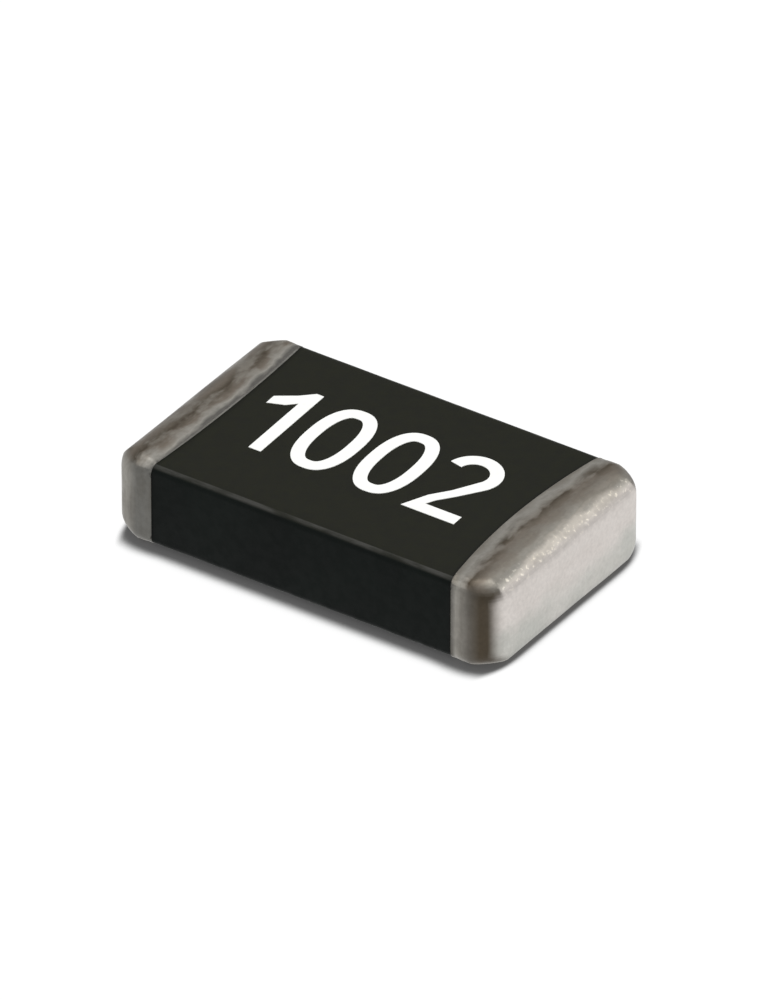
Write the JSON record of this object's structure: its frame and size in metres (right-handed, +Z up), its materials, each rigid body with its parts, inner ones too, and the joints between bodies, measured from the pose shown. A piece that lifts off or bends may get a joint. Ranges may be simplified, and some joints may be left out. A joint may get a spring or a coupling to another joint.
{
  "type": "smd chip resistor",
  "caption": "Small flat chip resistor for surface mounting: a black coated ceramic body with rounded silver-grey terminals wrapped round both ends.",
  "frame": {"origin": "on the mounting plane, under the middle of the chip", "axes": "+X along the length, from the left terminal to the right one; +Y across the width; +Z up, away from the board"},
  "size_m": [0.003, 0.0018, 0.0007],
  "materials": {
    "alumina": "matte",
    "fired_silver": "satin",
    "resistor_film": "matte",
    "undercoat_glass": "gloss",
    "black_coat": "satin",
    "nickel": "satin",
    "tin": "satin",
    "marking_ink": "matte"
  },
  "bodies": {
    "root": {"ceramic_substrate": "alumina", "top_electrode_left": "fired_silver", "top_electrode_right": "fired_silver", "bottom_electrode_left": "fired_silver", "bottom_electrode_right": "fired_silver", "resistor_film": "resistor_film", "glass_undercoat": "undercoat_glass", "black_overcoat": "black_coat", "end_electrode_left": "fired_silver", "end_electrode_right": "fired_silver", "nickel_barrier_left": "nickel", "nickel_barrier_right": "nickel", "tin_plating_left": "tin", "tin_plating_right": "tin"}
  },
  "joints": []
}
